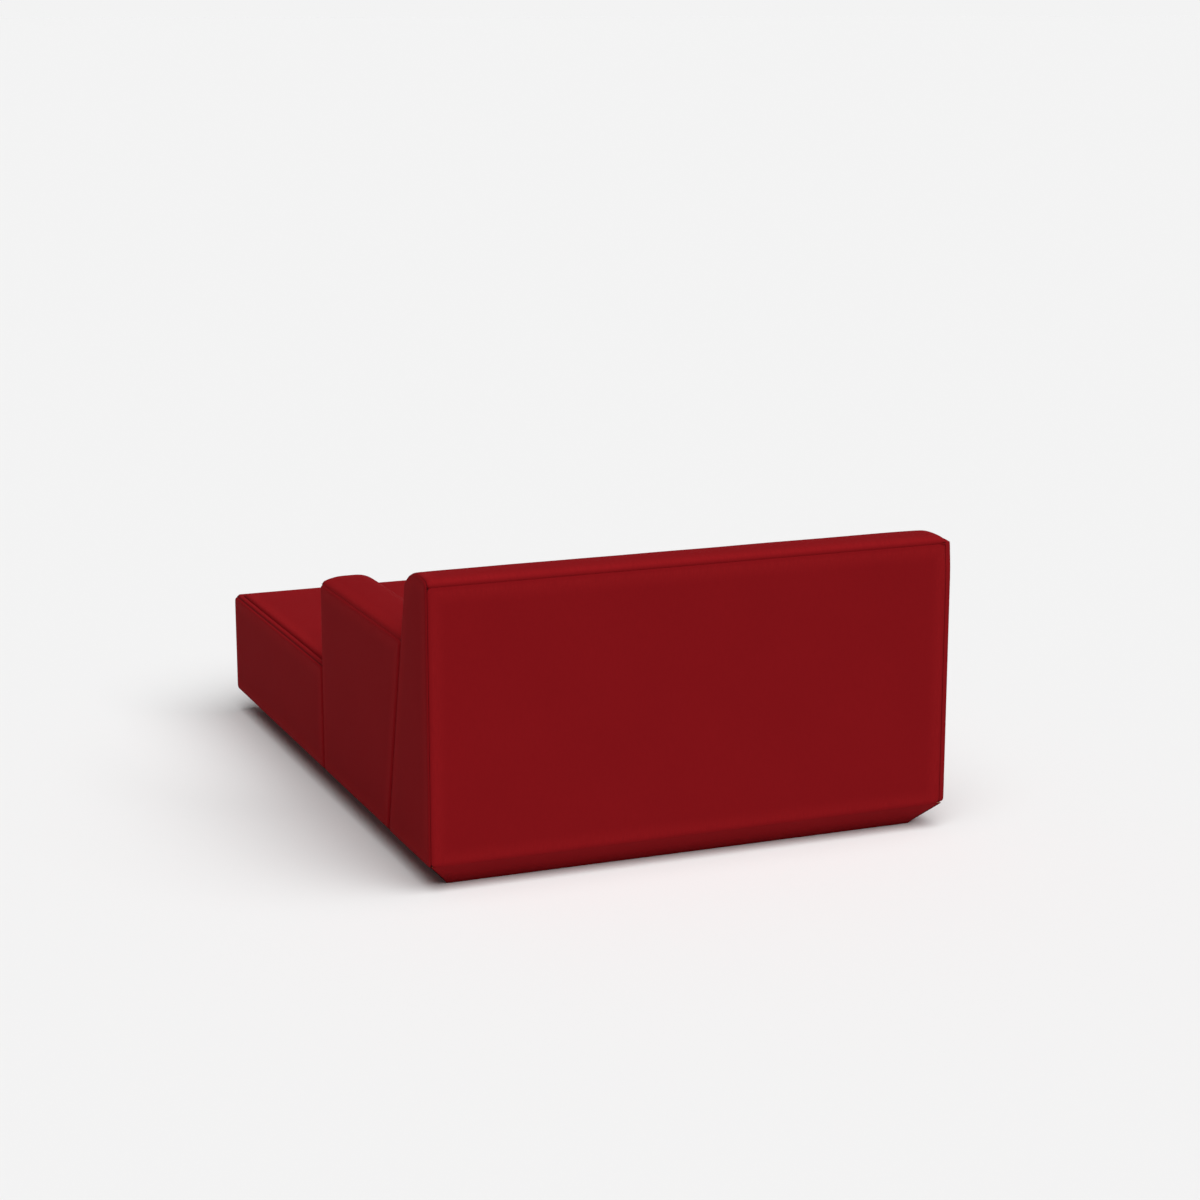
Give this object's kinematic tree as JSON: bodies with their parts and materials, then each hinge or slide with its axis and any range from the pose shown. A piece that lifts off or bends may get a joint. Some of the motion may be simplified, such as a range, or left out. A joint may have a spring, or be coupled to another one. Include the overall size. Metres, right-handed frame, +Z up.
{
  "type": "recamier daybed",
  "caption": "Low modular upholstered daybed: an L-shaped seat with a wedge backrest across the rear and a wedge armrest on one side, each on a bevelled base and joined by pins.",
  "frame": {"origin": "on the floor under the middle of the footprint", "axes": "+X along the backrest towards the armrest's side, +Y from the seat's front to the backrest's rear face, +Z up"},
  "size_m": [1.292, 1.692, 0.7139],
  "materials": {
    "cover_cloth": "dark red fine weave, matte",
    "seam": "dark red, folded and sewn",
    "lining_cloth": "thin black lining",
    "foam": "cut foam, matte",
    "wadding": "soft fibre, matte",
    "felt": "pressed felt",
    "webbing": "woven elastic web",
    "plywood": "sanded",
    "pine": "planed",
    "hardboard": "smooth",
    "steel": "turned",
    "glide": "moulded"
  },
  "bodies": {
    "seat": {"seat_front_rail": "pine", "seat_open_side_rail": "pine", "seat_arm_side_rail": "pine", "seat_cross_rail": "pine", "seat_bay_rails": "pine", "seat_notch_rail": "pine", "seat_rear_rail": "pine", "seat_corner_blocks": "plywood", "seat_base_boards": "pine", "seat_centre_leg": "pine", "seat_webs_across": "webbing", "seat_webs_along": "webbing", "seat_felt": "felt", "seat_side_wadding": "wadding", "seat_foam_core": "foam", "seat_comfort_layer": "wadding", "seat_top_cover": "cover_cloth", "seat_edge_band": "cover_cloth", "seat_side_covers": "cover_cloth", "seat_front_cover": "cover_cloth", "seat_inner_cover": "lining_cloth", "seat_bevel_cover": "cover_cloth", "seat_dust_cloth": "lining_cloth", "seat_glides": "glide", "seat_sockets": "steel"},
    "backrest": {"back_ribs": "plywood", "back_top_rail": "pine", "back_base_rails": "pine", "back_rear_board": "hardboard", "back_webs": "webbing", "back_face_foam": "foam", "back_top_foam": "foam", "back_rear_wadding": "wadding", "back_end_wadding": "wadding", "back_base_boards": "pine", "back_wrap_cover": "cover_cloth", "back_rear_cover": "cover_cloth", "back_end_covers": "cover_cloth", "back_seam_welts": "seam", "back_bevel_cover": "cover_cloth", "back_dust_cloth": "lining_cloth", "back_glides": "glide", "back_pins": "steel"},
    "armrest": {"arm_ribs": "plywood", "arm_rails": "pine", "arm_boards": "hardboard", "arm_face_foam": "foam", "arm_top_foam": "foam", "arm_wadding": "wadding", "arm_base_boards": "pine", "arm_wrap_cover": "cover_cloth", "arm_outer_cover": "cover_cloth", "arm_end_cover": "cover_cloth", "arm_linings": "lining_cloth", "arm_seam_welts": "seam", "arm_bevel_cover": "cover_cloth", "arm_dust_cloth": "lining_cloth", "arm_glides": "glide", "arm_pins": "steel"}
  },
  "joints": [
    {"name": "backrest_pull", "type": "slide", "parent": "seat", "child": "backrest", "axis": [0, 1, 0], "range_m": [0, 0.055]},
    {"name": "armrest_pull", "type": "slide", "parent": "seat", "child": "armrest", "axis": [1, 0, 0], "range_m": [0, 0.055]}
  ]
}
